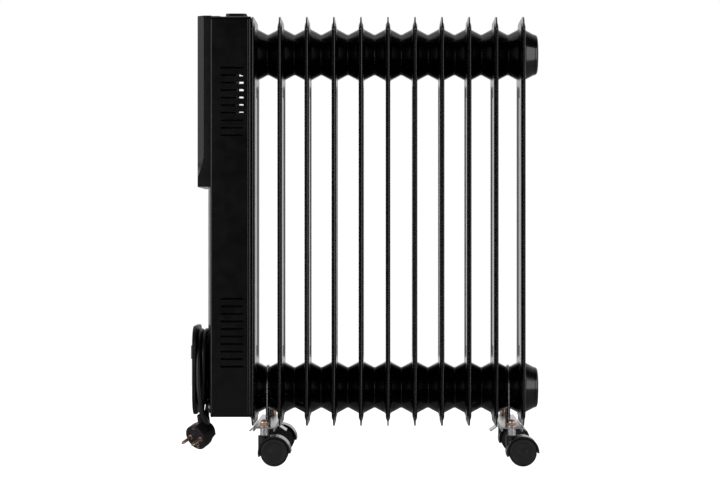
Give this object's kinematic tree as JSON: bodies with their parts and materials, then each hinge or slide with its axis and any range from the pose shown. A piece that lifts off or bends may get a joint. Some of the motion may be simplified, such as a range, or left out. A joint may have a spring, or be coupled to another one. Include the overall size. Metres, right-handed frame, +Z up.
{
  "type": "oil filled radiator heater",
  "caption": "Oil filled radiator heater: a row of hollow steel fins with a control box, cord reel and twin-wheel casters.",
  "frame": {"origin": "on the floor under the middle of the heater, without its loose cord and plug", "axes": "+Z up, X along the row of fins with the control box at low X, Y across the fins"},
  "size_m": [0.5067, 0.253, 0.63],
  "materials": {
    "fin_black": "gloss black baked enamel",
    "box_black": "satin black powder coat",
    "fascia_black": "gloss black moulded plastic",
    "grip_black": "matt black moulded plastic",
    "knob_black": "gloss black plastic with a pale pointer line",
    "switch_black": "matt black plastic",
    "rocker_red": "translucent red plastic",
    "lens_amber": "amber indicator lens",
    "zinc": "zinc plated sheet",
    "element_steel": "bright drawn steel",
    "gasket_fibre": "pressed fibre",
    "ceramic": "cream thermoset",
    "lead_pvc": "coloured insulation",
    "reel_black": "satin black moulded plastic",
    "cord_pvc": "dark grey flexible PVC",
    "plug_pvc": "dark grey moulded PVC, matt",
    "contact_brass": "nickel plated brass, warm tint",
    "chrome": "bright zinc and chrome plate",
    "nut_copper": "copper coloured plating",
    "hood_black": "gloss black nylon",
    "wheel_grey": "dark grey nylon, matt"
  },
  "bodies": {
    "root": {"fin_01": "fin_black", "fin_02": "fin_black", "fin_03": "fin_black", "fin_04": "fin_black", "fin_05": "fin_black", "fin_06": "fin_black", "fin_07": "fin_black", "fin_08": "fin_black", "fin_09": "fin_black", "fin_10": "fin_black", "fin_11": "fin_black", "column_caps": "fin_black", "heating_element": "element_steel", "element_gasket": "gasket_fibre", "housing_shell": "box_black", "front_panel": "box_black", "control_fascia": "fascia_black", "carry_grip": "grip_black", "thermostat": "ceramic", "switch_bodies": "switch_black", "pilot_lens": "lens_amber", "inner_chassis": "zinc", "terminal_block": "ceramic", "thermal_cutout": "element_steel", "tip_switch": "switch_black", "wiring": "lead_pvc", "cord_reel": "reel_black", "reel_flange": "reel_black", "plug_clip": "reel_black", "strain_relief": "cord_pvc", "cord_wrap": "cord_pvc", "cord_tail": "cord_pvc", "plug_body": "plug_pvc", "plug_contacts": "contact_brass", "foot_plate_front": "chrome", "foot_plate_rear": "chrome", "u_bolts": "chrome", "u_bolt_nuts": "chrome", "dome_nuts": "nut_copper", "caster_stems": "chrome", "panel_screws": "zinc"},
    "thermostat_knob": {"thermostat_knob": "knob_black"},
    "rocker_low": {"rocker_low": "rocker_red"},
    "rocker_high": {"rocker_high": "rocker_red"},
    "caster_front_left": {"hood_front_left": "hood_black", "axle_front_left": "element_steel"},
    "wheel_outer_front_left": {"wheel_outer_front_left": "wheel_grey"},
    "wheel_inner_front_left": {"wheel_inner_front_left": "wheel_grey"},
    "caster_front_right": {"hood_front_right": "hood_black", "axle_front_right": "element_steel"},
    "wheel_outer_front_right": {"wheel_outer_front_right": "wheel_grey"},
    "wheel_inner_front_right": {"wheel_inner_front_right": "wheel_grey"},
    "caster_rear_left": {"hood_rear_left": "hood_black", "axle_rear_left": "element_steel"},
    "wheel_outer_rear_left": {"wheel_outer_rear_left": "wheel_grey"},
    "wheel_inner_rear_left": {"wheel_inner_rear_left": "wheel_grey"},
    "caster_rear_right": {"hood_rear_right": "hood_black", "axle_rear_right": "element_steel"},
    "wheel_outer_rear_right": {"wheel_outer_rear_right": "wheel_grey"},
    "wheel_inner_rear_right": {"wheel_inner_rear_right": "wheel_grey"}
  },
  "joints": [
    {"name": "knob_turn", "type": "hinge", "parent": "root", "child": "thermostat_knob", "pos_m": [-0.23295, 0, 0.4514], "axis": [-1, 0, 0], "range_deg": [-270, 0]},
    {"name": "rocker_low_tilt", "type": "hinge", "parent": "root", "child": "rocker_low", "pos_m": [-0.22835, -0.02, 0.5394], "axis": [0, 1, 0], "range_deg": [0, 18]},
    {"name": "rocker_high_tilt", "type": "hinge", "parent": "root", "child": "rocker_high", "pos_m": [-0.22835, 0.02, 0.5394], "axis": [0, 1, 0], "range_deg": [0, 18]},
    {"name": "swivel_front_left", "type": "hinge", "parent": "root", "child": "caster_front_left", "pos_m": [-0.13745, -0.107, 0.03], "axis": [0, 0, 1], "continuous": true},
    {"name": "roll_outer_front_left", "type": "hinge", "parent": "caster_front_left", "child": "wheel_outer_front_left", "pos_m": [-0.12295, -0.107, 0.019], "axis": [0, 1, 0], "continuous": true},
    {"name": "roll_inner_front_left", "type": "hinge", "parent": "caster_front_left", "child": "wheel_inner_front_left", "pos_m": [-0.12295, -0.107, 0.019], "axis": [0, 1, 0], "continuous": true},
    {"name": "swivel_front_right", "type": "hinge", "parent": "root", "child": "caster_front_right", "pos_m": [-0.13745, 0.107, 0.03], "axis": [0, 0, 1], "continuous": true},
    {"name": "roll_outer_front_right", "type": "hinge", "parent": "caster_front_right", "child": "wheel_outer_front_right", "pos_m": [-0.12295, 0.107, 0.019], "axis": [0, 1, 0], "continuous": true},
    {"name": "roll_inner_front_right", "type": "hinge", "parent": "caster_front_right", "child": "wheel_inner_front_right", "pos_m": [-0.12295, 0.107, 0.019], "axis": [0, 1, 0], "continuous": true},
    {"name": "swivel_rear_left", "type": "hinge", "parent": "root", "child": "caster_rear_left", "pos_m": [0.20455, -0.107, 0.03], "axis": [0, 0, 1], "continuous": true},
    {"name": "roll_outer_rear_left", "type": "hinge", "parent": "caster_rear_left", "child": "wheel_outer_rear_left", "pos_m": [0.21905, -0.107, 0.019], "axis": [0, 1, 0], "continuous": true},
    {"name": "roll_inner_rear_left", "type": "hinge", "parent": "caster_rear_left", "child": "wheel_inner_rear_left", "pos_m": [0.21905, -0.107, 0.019], "axis": [0, 1, 0], "continuous": true},
    {"name": "swivel_rear_right", "type": "hinge", "parent": "root", "child": "caster_rear_right", "pos_m": [0.20455, 0.107, 0.03], "axis": [0, 0, 1], "continuous": true},
    {"name": "roll_outer_rear_right", "type": "hinge", "parent": "caster_rear_right", "child": "wheel_outer_rear_right", "pos_m": [0.21905, 0.107, 0.019], "axis": [0, 1, 0], "continuous": true},
    {"name": "roll_inner_rear_right", "type": "hinge", "parent": "caster_rear_right", "child": "wheel_inner_rear_right", "pos_m": [0.21905, 0.107, 0.019], "axis": [0, 1, 0], "continuous": true}
  ]
}
